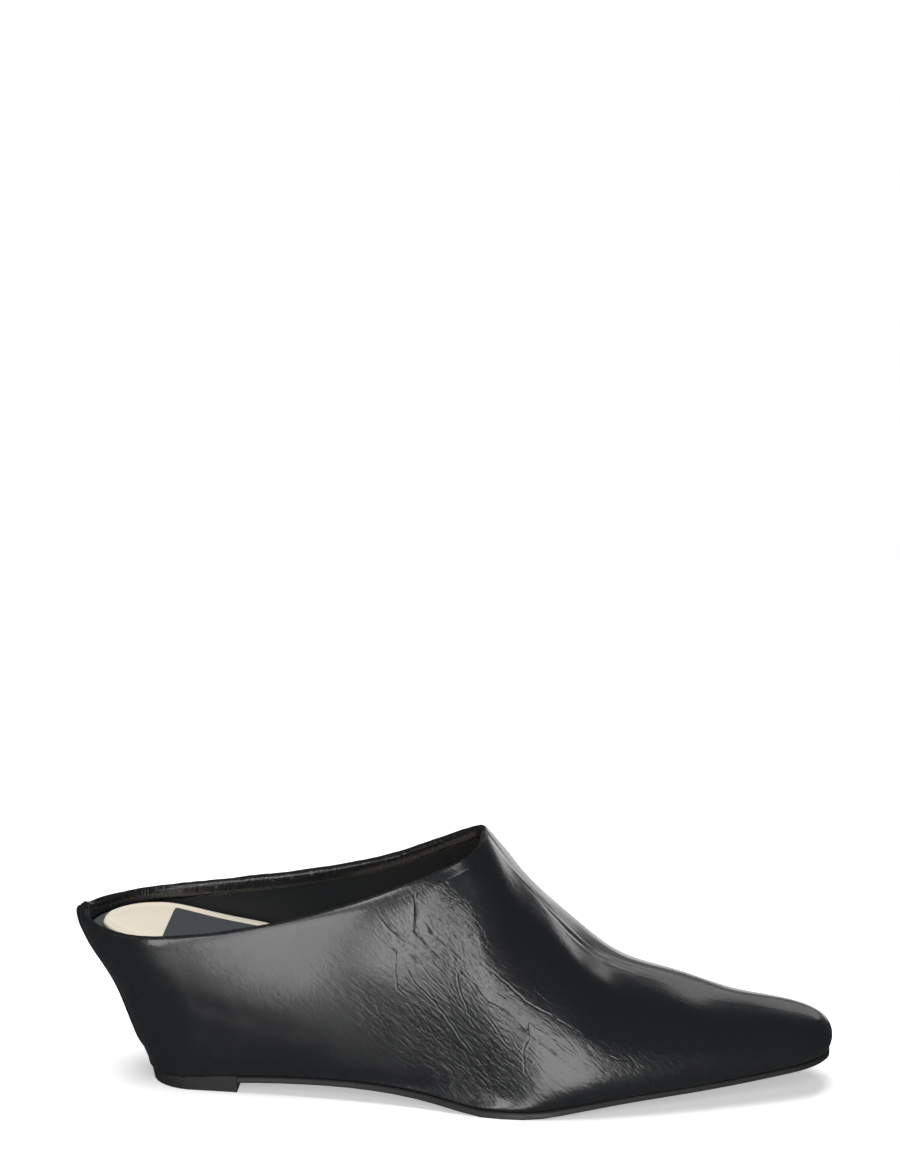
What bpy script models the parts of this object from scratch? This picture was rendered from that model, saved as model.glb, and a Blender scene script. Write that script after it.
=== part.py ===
# Heeled mule, right shoe: a leather upper that runs down over a wedge heel, closed below by a thin outsole
# and a heel lift, with a footbed and a padded sock inside. Metres, +Z up, toe towards +X, the shoe's outer
# side towards -Y. The origin is on the floor, under the middle of the shoe's box.
import math

import bmesh
import bpy
from mathutils import Vector

# Driving sizes of the last
SHOE_LENGTH = 0.258
BALL_WIDTH = 0.0805
INSTEP_HEIGHT = 0.0858
COLLAR_BACK_HEIGHT = 0.0562
COLLAR_LENGTH = 0.1405
WEDGE_RISE = 0.0432
SIDE_HEIGHT = 0.0143
TOE_BOX_HEIGHT = 0.0130
TOE_SPRING = 0.0106
WAIST_RISE = 0.0049
HEEL_RAKE = 0.0240
TOE_BULGE = 0.0016
TOE_SLOPE = 0.0110

# Thicknesses and clearances
UPPER_WALL = 0.0018
OUTSOLE_THICK = 0.0024
FOOTBED_THICK = 0.0022
SOCK_THICK = 0.0018
FIT_GAP = 0.0003

# Details of the upper: the margin turned in under the foot, the folded facing inside the collar, and the
# raised seam up the back with its knot of folded leather at the top
LASTING_MARGIN = 0.0036
FACING_WIDTH = 0.0040
FACING_STEP = 0.0006
FACING_THICK = 0.0006
RIM_CROWN = 0.0006
SEAM_WIDTH = 0.0026
SEAM_FOOT = 0.0006
SEAM_PROUD = 0.0013
SEAM_RUN_OUT = 0.0060
SEAM_FLAT_SHARE = 0.3
KNOT_HEIGHT = 0.0018
KNOT_WIDTH = 0.0065
KNOT_PROUD = 0.0003

# Details of the sole, wedge, footbed and sock
SOLE_REVEAL = 0.0004
SOLE_EDGE_ROUND = 0.0005
LIFT_LENGTH = 0.0318
LIFT_TAPER = 0.0009
WEDGE_EDGE = 0.0012
SOCK_BACK_MARGIN = 0.0046
SOCK_SIDE_MARGIN = 0.0012
SOCK_MARGIN_RUN = 0.0450
SOFT_EDGE_ROUND = 0.0007

# Rounding of the plan at the back and the toe, as shares of the length of the line that it ends
SIDE_BACK_ROUND = 0.115
SOLE_BACK_ROUND = 0.066
BACK_SQUARENESS = 2.1
TOE_ROUND = 0.052
TOE_SQUARENESS = 2.5

# Where the upper's lowest line meets the sole: share of its own length, half widths as shares of BALL_WIDTH,
# heights as shares of WAIST_RISE and TOE_SPRING.
SOLE_LINE = (
    # share, outer, inner, waist, spring
    (0.00, 0.225, 0.225, 0.42, 0.00),
    (0.06, 0.240, 0.240, 0.50, 0.00),
    (0.13, 0.260, 0.256, 0.74, 0.00),
    (0.23, 0.296, 0.268, 0.97, 0.00),
    (0.33, 0.348, 0.278, 0.98, 0.00),
    (0.43, 0.424, 0.310, 0.52, 0.00),
    (0.50, 0.492, 0.356, 0.00, 0.00),
    (0.57, 0.512, 0.401, 0.00, 0.00),
    (0.63, 0.488, 0.422, 0.00, 0.17),
    (0.71, 0.416, 0.422, 0.00, 0.37),
    (0.80, 0.328, 0.382, 0.00, 0.53),
    (0.88, 0.238, 0.318, 0.00, 0.68),
    (0.95, 0.155, 0.250, 0.00, 0.85),
    (1.00, 0.098, 0.196, 0.00, 1.00),
)

# The widest line of the upper: share of its length, half widths as before, heights above the sole line as
# shares of WEDGE_RISE and SIDE_HEIGHT.
SIDE_LINE = (
    # share, outer, inner, wedge, side
    (0.00, 0.318, 0.318, 1.005, 0.00),
    (0.05, 0.340, 0.340, 0.995, 0.00),
    (0.10, 0.354, 0.354, 0.980, 0.00),
    (0.175, 0.364, 0.360, 0.925, 0.00),
    (0.275, 0.374, 0.357, 0.794, 0.04),
    (0.375, 0.396, 0.358, 0.544, 0.30),
    (0.475, 0.452, 0.385, 0.250, 0.80),
    (0.546, 0.512, 0.420, 0.087, 1.02),
    (0.617, 0.538, 0.452, 0.000, 1.02),
    (0.694, 0.500, 0.468, 0.000, 0.80),
    (0.77, 0.430, 0.448, 0.000, 0.66),
    (0.85, 0.340, 0.390, 0.000, 0.55),
    (0.92, 0.252, 0.322, 0.000, 0.47),
    (0.965, 0.190, 0.268, 0.000, 0.42),
    (1.00, 0.145, 0.228, 0.000, 0.38),
)

# The crown of the last, over the instep and the vamp to the toe, and on behind the throat where no leather
# is: share of its length, height as a share of the rise from the toe to the instep, fullness as the exponent
# of the arch, swing of the middle towards the inner side as a share of BALL_WIDTH, and drape of the wall
# below the widest line, from 1, flat, to 2.5, round.
CROWN_LINE = (
    # share, height, fullness, swing, drape
    (0.00, 1.36, 2.20, 0.000, 1.50),
    (0.12, 1.40, 2.20, 0.000, 1.50),
    (0.28, 1.40, 2.15, 0.000, 1.55),
    (0.40, 1.33, 2.10, 0.000, 1.70),
    (0.49, 1.20, 2.10, 0.000, 1.90),
    (0.5757, 1.00, 2.10, 0.000, 2.05),
    (0.61, 0.796, 2.10, 0.002, 2.10),
    (0.66, 0.572, 2.12, 0.005, 2.15),
    (0.70, 0.376, 2.14, 0.009, 2.20),
    (0.74, 0.264, 2.16, 0.014, 2.25),
    (0.80, 0.185, 2.20, 0.022, 2.30),
    (0.87, 0.086, 2.25, 0.032, 2.30),
    (0.94, 0.041, 2.30, 0.041, 2.30),
    (1.00, 0.000, 2.35, 0.048, 2.30),
)

# Collar edge, from the back to the throat: share of COLLAR_LENGTH, and height on each side as a share of the
# rise from COLLAR_BACK_HEIGHT to the throat.
COLLAR_LINE = (
    # share, outer, inner
    (0.00, 0.012, 0.012),
    (0.15, -0.010, 0.050),
    (0.30, 0.030, 0.126),
    (0.45, 0.140, 0.216),
    (0.60, 0.310, 0.338),
    (0.72, 0.480, 0.464),
    (0.84, 0.685, 0.664),
    (0.93, 0.850, 0.855),
    (1.00, 1.000, 1.000),
)

# Top of the wedge under the foot: share of SHOE_LENGTH from the back, height as a share of WEDGE_RISE.
SEAT_LINE = (
    # share, rise
    (0.00, 1.012),
    (0.05, 1.012),
    (0.09, 0.996),
    (0.13, 0.950),
    (0.19, 0.845),
    (0.26, 0.736),
    (0.32, 0.605),
    (0.38, 0.445),
    (0.44, 0.272),
    (0.50, 0.120),
    (0.56, 0.028),
    (0.62, 0.000),
    (1.00, 0.000),
)

# The back of the shoe from the side: height as a share of COLLAR_BACK_HEIGHT, set-back as a share of
# HEEL_RAKE.
BACK_LINE = (
    # height, setback
    (0.00, -0.06),
    (0.08, 0.00),
    (0.33, 0.235),
    (0.61, 0.505),
    (0.84, 0.84),
    (0.97, 0.965),
    (1.15, 1.000),
    (1.40, 1.010),
    (2.40, 1.010),
)

# The toe from the side: height as a share of the way from the sole line to the crown, overhang as a share
# of TOE_BULGE, and slope back as a share of TOE_SLOPE.
TOE_LINE = (
    # height, bulge, slope
    (0.00, 0.25, 0.00),
    (0.28, 1.00, 0.00),
    (0.50, 0.90, 0.02),
    (0.70, 0.40, 0.10),
    (0.88, 0.00, 0.42),
    (1.00, 0.00, 1.00),
)

# How finely the forms are cut into flat faces
BACK_COLUMNS = 32
VAMP_COLUMNS = 20
WALL_ROWS = 12
ROW_GATHER = 1.3
PATH_STEPS = 44
WEDGE_LAYERS = 8
SOLE_STATIONS = 40
THROAT_SOLE_SHARE = 0.60
THROAT_SWEEP = 0.39
SWEEP_BACK_COLUMNS = 9
SWEEP_VAMP_COLUMNS = 13
SMOOTH_ANGLE = math.radians(40)
MOST_CORNER_STRETCH = 1.6
MERGE_DISTANCE = 1e-6

OUTER = -1
INNER = 1
SIDES = (OUTER, INNER)


def spline_column(rows, column):
    """A smooth function through one column of a table, with the first column as its argument."""
    xs = [row[0] for row in rows]
    ys = [row[column] for row in rows]
    count = len(xs)
    bend = [0.0] * count
    carry = [0.0] * count
    for i in range(1, count - 1):
        left = xs[i] - xs[i - 1]
        right = xs[i + 1] - xs[i]
        part = left / (left + right)
        pivot = part * bend[i - 1] + 2
        bend[i] = (part - 1) / pivot
        jump = (ys[i + 1] - ys[i]) / right - (ys[i] - ys[i - 1]) / left
        carry[i] = (6 * jump / (left + right) - part * carry[i - 1]) / pivot
    bend[-1] = 0.0
    for i in range(count - 2, 0, -1):
        bend[i] = bend[i] * bend[i + 1] + carry[i]
    bend[0] = 0.0

    def value(x):
        x = min(max(x, xs[0]), xs[-1])
        i = 0
        while i < count - 2 and x > xs[i + 1]:
            i += 1
        step = xs[i + 1] - xs[i]
        a = (xs[i + 1] - x) / step
        b = (x - xs[i]) / step
        curve = (a**3 - a) * bend[i] + (b**3 - b) * bend[i + 1]
        return a * ys[i] + b * ys[i + 1] + curve * step**2 / 6

    return value


sole_half = {OUTER: spline_column(SOLE_LINE, 1), INNER: spline_column(SOLE_LINE, 2)}
sole_waist = spline_column(SOLE_LINE, 3)
sole_spring = spline_column(SOLE_LINE, 4)
side_half = {OUTER: spline_column(SIDE_LINE, 1), INNER: spline_column(SIDE_LINE, 2)}
side_wedge = spline_column(SIDE_LINE, 3)
side_rise = spline_column(SIDE_LINE, 4)
crown_rise = spline_column(CROWN_LINE, 1)
crown_fullness = spline_column(CROWN_LINE, 2)
crown_swing = spline_column(CROWN_LINE, 3)
wall_drape = spline_column(CROWN_LINE, 4)
collar_rise = {OUTER: spline_column(COLLAR_LINE, 1), INNER: spline_column(COLLAR_LINE, 2)}
seat_rise = spline_column(SEAT_LINE, 1)
back_setback = spline_column(BACK_LINE, 1)
toe_overhang = spline_column(TOE_LINE, 1)
toe_slope = spline_column(TOE_LINE, 2)


def smooth_step(value):
    value = min(max(value, 0.0), 1.0)
    return value * value * (3 - 2 * value)


def solve(function, low, high):
    """The argument between low and high where a rising function reaches zero."""
    for _ in range(40):
        middle = (low + high) / 2
        if function(middle) < 0:
            low = middle
        else:
            high = middle
    return (low + high) / 2


# The last
def sole_height(share):
    lift = WAIST_RISE * max(sole_waist(share), 0) + TOE_SPRING * max(sole_spring(share), 0)
    return OUTSOLE_THICK + FIT_GAP + lift


def side_height(share):
    return sole_height(share) + WEDGE_RISE * max(side_wedge(share), 0) + SIDE_HEIGHT * side_rise(share)


def crown_height(share):
    toe_top = sole_height(1) + TOE_BOX_HEIGHT
    return toe_top + (INSTEP_HEIGHT - toe_top) * crown_rise(share)


def back_x(height):
    rake = HEEL_RAKE * (1 - back_setback(height / COLLAR_BACK_HEIGHT))
    return -SHOE_LENGTH / 2 + SEAM_PROUD + rake


def toe_x(level):
    """The front of the last at a level from 0, the sole line, to 1, the crown."""
    return SHOE_LENGTH / 2 - TOE_BULGE * (1 - toe_overhang(level)) - TOE_SLOPE * toe_slope(level)


def along(share, height):
    """Distance along the shoe at this share of the last's length and this height."""
    low = sole_height(share)
    back = back_x(height)
    return back + share * (toe_x((height - low) / (crown_height(share) - low)) - back)


def end_rounding(share, back_round):
    """How far the plan has opened at this share of its length: 0 at either end and 1 between them."""
    opened = 1.0
    if share < back_round:
        closing = 1 - share / back_round
        opened *= max(1 - closing**BACK_SQUARENESS, 0) ** (1 / BACK_SQUARENESS)
    if share > 1 - TOE_ROUND:
        closing = (share - 1 + TOE_ROUND) / TOE_ROUND
        opened *= max(1 - closing**TOE_SQUARENESS, 0) ** (1 / TOE_SQUARENESS)
    return opened


def middle_y(share):
    return BALL_WIDTH * crown_swing(share)


def side_y(half_share, share, side, back_round):
    middle = middle_y(share)
    reach = side * BALL_WIDTH * half_share - middle
    return middle + reach * end_rounding(share, back_round)


def last_point(share, level, side):
    """A point of the last: level 0 at the sole line, 1 at the widest line and 2 at the crown."""
    wide_y = side_y(side_half[side](share), share, side, SIDE_BACK_ROUND)
    wide_z = side_height(share)
    if level <= 1:
        low_y = side_y(sole_half[side](share), share, side, SOLE_BACK_ROUND)
        low_z = sole_height(share)
        turn = max(level, 0) * math.pi / 2
        power = 2 / wall_drape(share)
        y = low_y + (wide_y - low_y) * math.sin(turn) ** power
        z = wide_z + (low_z - wide_z) * math.cos(turn) ** power
    else:
        turn = (min(level, 2) - 1) * math.pi / 2
        power = 2 / crown_fullness(share)
        middle = middle_y(share)
        y = middle + (wide_y - middle) * max(math.cos(turn), 0) ** power
        z = wide_z + (crown_height(share) - wide_z) * math.sin(turn) ** power
    return Vector((along(share, z), y, z))


def sole_point(share, side, inset, drop):
    """A point of the sole line, moved in by inset and down by drop."""
    height = sole_height(share)
    back = back_x(height) + inset
    front = toe_x(0) - inset
    middle = middle_y(share)
    reach = side * BALL_WIDTH * sole_half[side](share) - middle - side * inset
    y = middle + reach * end_rounding(share, SOLE_BACK_ROUND)
    return Vector((back + share * (front - back), y, height - drop))


# The collar edge
def throat_share():
    wanted = COLLAR_LENGTH - SHOE_LENGTH / 2
    return solve(lambda share: along(share, crown_height(share)) - wanted, 0.3, 0.9)


THROAT_SHARE = throat_share()
THROAT_HEIGHT = crown_height(THROAT_SHARE)
THROAT_X = along(THROAT_SHARE, THROAT_HEIGHT)


def collar_place(run, side):
    """Share and level on the last of the collar edge, run 0 at the back and 1 at the throat."""
    if run >= 1:
        return THROAT_SHARE, 2.0
    rise = collar_rise[side](run)
    height = COLLAR_BACK_HEIGHT + (THROAT_HEIGHT - COLLAR_BACK_HEIGHT) * rise
    back = back_x(height)
    x = back + run * (THROAT_X - back)
    share = solve(lambda share: along(share, height) - x, 0, THROAT_SHARE) if run > 0 else 0.0
    level = solve(lambda level: last_point(share, level, side).z - height, 0.5, 2.0)
    return share, level


# Columns of the upper's wall, from the back seam over the collar's length to the toe
def column_ends():
    """For each column: share at the sole, and either its place along the collar or its share on the crown."""
    ends = [("seam", 0.0), ("seam", SEAM_WIDTH / 2), ("seam", SEAM_WIDTH / 2 + SEAM_FOOT)]
    for i in range(1, BACK_COLUMNS + 1):
        turn = i / BACK_COLUMNS * math.pi
        low = THROAT_SOLE_SHARE * (1 - math.cos(turn / 2))
        ends.append(("collar", low, (1 - math.cos(turn)) / 2))
    for i in range(1, VAMP_COLUMNS + 1):
        eased = math.sin(i / VAMP_COLUMNS * math.pi / 2)
        low = THROAT_SOLE_SHARE + (1 - THROAT_SOLE_SHARE) * eased
        ends.append(("vamp", low, THROAT_SHARE + (1 - THROAT_SHARE) * eased))
    return ends


COLUMN_ENDS = column_ends()
SEAM_COLUMNS = 3
THROAT_COLUMN = SEAM_COLUMNS + BACK_COLUMNS - 1
LAST_COLUMN = len(COLUMN_ENDS) - 1


def seam_path(offset, side):
    """The wall's line up the back at a fixed distance beside the middle, up to the collar."""
    top_share, top_level = collar_place(0, side)
    path = []
    for step in range(PATH_STEPS + 1):
        level = top_level * step / PATH_STEPS
        share = 0.0
        if offset > 0:
            share = solve(lambda share: abs(last_point(share, level, side).y) - offset, 0, SOLE_BACK_ROUND)
        path.append(last_point(share, level, side))
    return path


def throat_sweep(column):
    """How far a column near the throat swings forward, to meet both the collar edge and the crown aslant."""
    past = column - THROAT_COLUMN
    reach = SWEEP_VAMP_COLUMNS if past > 0 else SWEEP_BACK_COLUMNS
    return THROAT_SWEEP * max(1 - abs(past) / reach, 0) ** 2


def wall_path(low, top_share, top_level, sweep, side):
    path = []
    for step in range(PATH_STEPS + 1):
        part = step / PATH_STEPS
        share = low + (top_share - low) * part + sweep * part**3 * (1 - part)
        path.append(last_point(share, top_level * part, side))
    return path


def column_path(column, side):
    ends = COLUMN_ENDS[column]
    if ends[0] == "seam":
        return seam_path(ends[1], side)
    if ends[0] == "collar":
        return wall_path(ends[1], *collar_place(ends[2], side), throat_sweep(column), side)
    return wall_path(ends[1], ends[2], 2.0, throat_sweep(column), side)


def points_along(path, distances):
    """Points of a path at these distances from its start."""
    found = []
    start = 0.0
    steps = list(zip(path, path[1:]))
    place = 0
    for distance in distances:
        while place < len(steps) - 1 and start + (steps[place][1] - steps[place][0]).length < distance:
            start += (steps[place][1] - steps[place][0]).length
            place += 1
        here, there = steps[place]
        length = (there - here).length
        found.append(here.lerp(there, min((distance - start) / length, 1) if length > 0 else 0))
    return found


def wall_points(column, side):
    """The column's points: the margin under the foot, the wall, the facing's step, and the collar."""
    path = column_path(column, side)
    length = sum((b - a).length for a, b in zip(path, path[1:]))
    main = length - FACING_WIDTH - FACING_STEP
    distances = [main * (row / WALL_ROWS) ** ROW_GATHER for row in range(WALL_ROWS + 1)]
    distances += [length - FACING_WIDTH, length]
    points = points_along(path, distances)
    ends = COLUMN_ENDS[column]
    low = ends[1]
    if ends[0] == "seam":
        low = solve(lambda share: abs(last_point(share, 0, side).y) - ends[1], 0, SOLE_BACK_ROUND)
        low = low if ends[1] > 0 else 0.0
    return [sole_point(low, side, LASTING_MARGIN, 0)] + points


ROWS = WALL_ROWS + 4
TOP_ROW = ROWS - 1
FACING_ROW = ROWS - 2


def vertex_key(column, row, side):
    """Both sides share the columns at the back and the toe, and the crown in front of the throat."""
    shared = column in (0, LAST_COLUMN) or (column >= THROAT_COLUMN and row == TOP_ROW)
    return (column, row, 0 if shared else side)


def skin_cells():
    """The four keys round each face of the wall, turning so that faces point outwards."""
    cells = []
    for side in SIDES:
        for column in range(LAST_COLUMN):
            for row in range(TOP_ROW):
                corners = [(column, row), (column + 1, row), (column + 1, row + 1), (column, row + 1)]
                if side == INNER:
                    corners.reverse()
                cells.append([vertex_key(c, r, side) for c, r in corners])
    return cells


def skin_frame():
    """Each wall point with its outward normal, stretched where the wall turns a corner."""
    places = {}
    for side in SIDES:
        for column in range(LAST_COLUMN + 1):
            for row, point in enumerate(wall_points(column, side)):
                places[vertex_key(column, row, side)] = point
    sheet = bmesh.new()
    made = {key: sheet.verts.new(point) for key, point in places.items()}
    for cell in skin_cells():
        sheet.faces.new([made[key] for key in cell])
    sheet.normal_update()
    normals = {key: vert.normal * min(vert.calc_shell_factor(), MOST_CORNER_STRETCH) for key, vert in made.items()}
    sheet.free()
    return places, normals


def seam_raise(column, row, point):
    """How far the back seam stands proud here: it runs out above the sole and gathers into the knot."""
    if column >= SEAM_COLUMNS - 1:
        return 0.0
    above = point.z - sole_height(0)
    proud = SEAM_PROUD * smooth_step(above / SEAM_RUN_OUT - SEAM_FLAT_SHARE)
    if row >= FACING_ROW:
        proud += KNOT_PROUD
    return proud


def knot_lift(row, point):
    if row < FACING_ROW or point.x > 0:
        return 0.0
    share = (row - FACING_ROW + 1) / 2
    return KNOT_HEIGHT * share * smooth_step(1 - abs(point.y) / KNOT_WIDTH)


def upper_walls():
    """Outer and inner points of the upper's wall, by key."""
    places, normals = skin_frame()
    outside = {}
    inside = {}
    for key, point in places.items():
        column, row, side = key
        normal = normals[key]
        raised = Vector((0, 0, knot_lift(row, point)))
        thick = UPPER_WALL
        if row >= FACING_ROW and column <= THROAT_COLUMN:
            thick += FACING_THICK
        outside[key] = point + normal * seam_raise(column, row, point) + raised
        inside[key] = point - normal * thick + raised
    return outside, inside


# Making objects
def make_object(name, mesh_data, material):
    mesh = bpy.data.meshes.new(name)
    mesh_data.to_mesh(mesh)
    mesh_data.free()
    mesh.shade_smooth()
    mesh.set_sharp_from_angle(angle=SMOOTH_ANGLE)
    mesh.materials.append(material)
    piece = bpy.data.objects.new(name, mesh)
    bpy.context.scene.collection.objects.link(piece)
    return piece


def make_material(name, colour, roughness, metallic=0.0):
    material = bpy.data.materials.new(name)
    material.use_nodes = True
    surface = material.node_tree.nodes["Principled BSDF"]
    surface.inputs["Base Color"].default_value = (*colour, 1)
    surface.inputs["Roughness"].default_value = roughness
    surface.inputs["Metallic"].default_value = metallic
    return material


def collar_loop():
    """Columns and sides round the collar, from the throat back along one side and forward along the other."""
    outer = [(column, OUTER) for column in range(THROAT_COLUMN, -1, -1)]
    inner = [(column, INNER) for column in range(1, THROAT_COLUMN)]
    return outer + inner


def margin_loop():
    outer = [(column, OUTER) for column in range(LAST_COLUMN, -1, -1)]
    inner = [(column, INNER) for column in range(1, LAST_COLUMN)]
    return outer + inner


def make_upper(walls, material):
    """The leather shell: open at the collar, open under the foot inside its lasting margin."""
    outside, inside = walls
    shell = bmesh.new()
    out = {key: shell.verts.new(point) for key, point in outside.items()}
    into = {key: shell.verts.new(point) for key, point in inside.items()}
    for cell in skin_cells():
        shell.faces.new([out[key] for key in cell])
        shell.faces.new([into[key] for key in reversed(cell)])
    rim = [vertex_key(column, TOP_ROW, side) for column, side in collar_loop()]
    crests = []
    for key in rim:
        crest = (outside[key] + inside[key]) / 2
        crests.append(shell.verts.new(crest + Vector((0, 0, RIM_CROWN))))
    for i, key in enumerate(rim):
        after = rim[(i + 1) % len(rim)]
        crest, next_crest = crests[i], crests[(i + 1) % len(rim)]
        shell.faces.new([out[key], out[after], next_crest, crest])
        shell.faces.new([crest, next_crest, into[after], into[key]])
    foot = [vertex_key(column, 0, side) for column, side in margin_loop()]
    for i, key in enumerate(foot):
        after = foot[(i + 1) % len(foot)]
        shell.faces.new([out[key], into[key], into[after], out[after]])
    bmesh.ops.recalc_face_normals(shell, faces=shell.faces)
    return make_object("upper", shell, material)


def loft(name, stations, material):
    """A closed solid through stations, each a ring of points that runs round the piece's section."""
    solid = bmesh.new()
    rings = [[solid.verts.new(point) for point in ring] for ring in stations]
    count = len(rings[0])
    for ring, after in zip(rings, rings[1:]):
        for i in range(count):
            j = (i + 1) % count
            solid.faces.new([ring[i], ring[j], after[j], after[i]])
    solid.faces.new(list(reversed(rings[0])))
    solid.faces.new(rings[-1])
    bmesh.ops.remove_doubles(solid, verts=solid.verts, dist=MERGE_DISTANCE)
    bmesh.ops.dissolve_degenerate(solid, edges=solid.edges, dist=MERGE_DISTANCE)
    bmesh.ops.recalc_face_normals(solid, faces=solid.faces)
    return make_object(name, solid, material)


# The pieces inside follow the inner face of the upper's wall, column by column
def inner_columns(inside):
    return {
        side: [
            [inside[vertex_key(column, row, side)] for row in range(1, ROWS)]
            for column in range(LAST_COLUMN + 1)
        ]
        for side in SIDES
    }


def at_height(line, height_at):
    """Where a column of the inner wall crosses a surface whose height depends on x."""
    for low, high in zip(line, line[1:]):
        under = low.z - height_at(low.x)
        over = high.z - height_at(high.x)
        if under <= 0 < over:
            return low.lerp(high, under / (under - over))
    return line[0].copy() if line[0].z > height_at(line[0].x) else line[-1].copy()


def outline_inside(columns, height_at, last, inset_at):
    """Points round the inner wall at a height, moved in level by an inset; both may vary with x."""
    places = [at_height(columns[OUTER][column], height_at) for column in range(last, 0, -1)]
    places += [at_height(columns[INNER][column], height_at) for column in range(0, last + 1)]
    moved = []
    count = len(places)
    for i, point in enumerate(places):
        before = places[max(i - 1, 0)]
        after = places[min(i + 1, count - 1)]
        if last == LAST_COLUMN and i in (0, count - 1):
            before, after = places[-2], places[1]
        run = after - before
        inward = Vector((run.y, -run.x, 0)).normalized()
        place = point + inward * inset_at(point.x)
        place.z = height_at(place.x)
        moved.append(place)
    return moved


def half_rings(outline):
    """Pairs of points across an outline, from its front to the back, outer side first."""
    middle = len(outline) // 2
    pairs = []
    for i in range(middle + 1):
        pairs.append((outline[i], outline[-1 - i]))
    return pairs


def stack(name, layers, material):
    """A closed solid from outlines above each other, each from the front on the outer side round the back."""
    pairs = [half_rings(layer) for layer in layers]
    stations = []
    for i in range(len(pairs[0])):
        outer = [layer[i][0] for layer in pairs]
        inner = [layer[i][1] for layer in pairs]
        stations.append(outer + list(reversed(inner)))
    return loft(name, stations, material)


def share_of_length(x):
    return (x + SHOE_LENGTH / 2) / SHOE_LENGTH


def sole_top_at(x):
    """Height of the upper's lowest line at this x."""
    back = back_x(sole_height(0))
    front = toe_x(0)
    return sole_height(min(max((x - back) / (front - back), 0), 1))


def wedge_bottom(x):
    return sole_top_at(x) + UPPER_WALL + FIT_GAP


def wedge_top(x):
    return wedge_bottom(x) + WEDGE_RISE * max(seat_rise(share_of_length(x)), 0)


def footbed_bottom(x):
    return wedge_top(x) + FIT_GAP


def footbed_top(x):
    return footbed_bottom(x) + FOOTBED_THICK


def sock_bottom(x):
    return footbed_top(x) + FIT_GAP


def sock_top(x):
    return sock_bottom(x) + SOCK_THICK


def close_fit(x):
    return FIT_GAP


def sock_margin(x):
    back = -SHOE_LENGTH / 2
    fade = smooth_step((x - back) / SOCK_MARGIN_RUN)
    return FIT_GAP + SOCK_BACK_MARGIN + (SOCK_SIDE_MARGIN - SOCK_BACK_MARGIN) * fade


def wedge_thickness(x):
    return wedge_top(x) - wedge_bottom(x)


def wedge_layer_height(part):
    """The surface at this part of the wedge's thickness, 0 at its underside and 1 at its top."""

    def height_at(x):
        return wedge_bottom(x) + wedge_thickness(x) * part

    return height_at


def make_wedge(columns, material):
    """The wedge heel under the leather: it thins to an edge behind the ball of the foot."""
    last = 1
    while wedge_thickness(columns[OUTER][last + 1][0].x) > WEDGE_EDGE:
        last += 1
    layers = []
    for layer in range(WEDGE_LAYERS + 1):
        height_at = wedge_layer_height(layer / WEDGE_LAYERS)
        layers.append(outline_inside(columns, height_at, last, close_fit))
    return stack("wedge_heel", layers, material)


def make_pad(name, columns, bottom_at, top_at, inset_at, material):
    """A sheet that fills the shoe's plan from back to toe, with its upper edge rounded."""

    def shoulder_at(x):
        return top_at(x) - SOFT_EDGE_ROUND

    def rounded_inset_at(x):
        return inset_at(x) + SOFT_EDGE_ROUND

    layers = [
        outline_inside(columns, bottom_at, LAST_COLUMN, inset_at),
        outline_inside(columns, shoulder_at, LAST_COLUMN, inset_at),
        outline_inside(columns, top_at, LAST_COLUMN, rounded_inset_at),
    ]
    return stack(name, layers, material)


# Sole and lift
def lift_share():
    back = back_x(sole_height(0))
    front = toe_x(0)
    return LIFT_LENGTH / (front - back)


def breast_x():
    return back_x(sole_height(0)) + LIFT_LENGTH


def make_outsole(material):
    """The thin outsole from the lift's breast to the toe, flat on the floor under the ball."""
    start = lift_share() + FIT_GAP / SHOE_LENGTH
    stations = []
    for i in range(SOLE_STATIONS + 1):
        eased = math.sin(i / SOLE_STATIONS * math.pi / 2)
        share = start + (1 - start) * eased
        low = FIT_GAP + OUTSOLE_THICK
        levels = (
            (SOLE_EDGE_ROUND - SOLE_REVEAL, FIT_GAP),
            (-SOLE_REVEAL, FIT_GAP + SOLE_EDGE_ROUND),
            (-SOLE_REVEAL, low - SOLE_EDGE_ROUND),
            (SOLE_EDGE_ROUND - SOLE_REVEAL, low),
        )
        outer = [sole_point(share, OUTER, inset, drop) for inset, drop in levels]
        inner = [sole_point(share, INNER, inset, drop) for inset, drop in levels]
        if i == 0:
            for point in outer + inner:
                point.x = breast_x() + FIT_GAP
        stations.append(outer + list(reversed(inner)))
    return loft("outsole", stations, material)


def make_lift(material):
    """The lift under the back of the wedge: flat below, with its sides drawn in towards the floor."""
    end = lift_share()
    stations = []
    count = SOLE_STATIONS // 3
    for i in range(count + 1):
        share = end * (1 - math.cos(i / count * math.pi / 2))
        ring = []
        for side in SIDES:
            top = sole_point(share, side, FIT_GAP, FIT_GAP)
            foot = sole_point(share, side, FIT_GAP + LIFT_TAPER, FIT_GAP)
            foot.z = 0
            if i == count:
                foot.x = top.x = breast_x()
            ring += [top, foot] if side == OUTER else [foot, top]
        stations.append(ring)
    return loft("top_lift", stations, material)


def centre_on_floor(pieces):
    """Moves the meshes so that the shoe's box has its middle over the origin and its foot on the floor."""
    points = [vert.co for piece in pieces for vert in piece.data.vertices]
    low = Vector([min(point[axis] for point in points) for axis in range(3)])
    high = Vector([max(point[axis] for point in points) for axis in range(3)])
    shift = Vector((-(low.x + high.x) / 2, -(low.y + high.y) / 2, -low.z))
    for piece in pieces:
        for vert in piece.data.vertices:
            vert.co += shift


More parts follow.
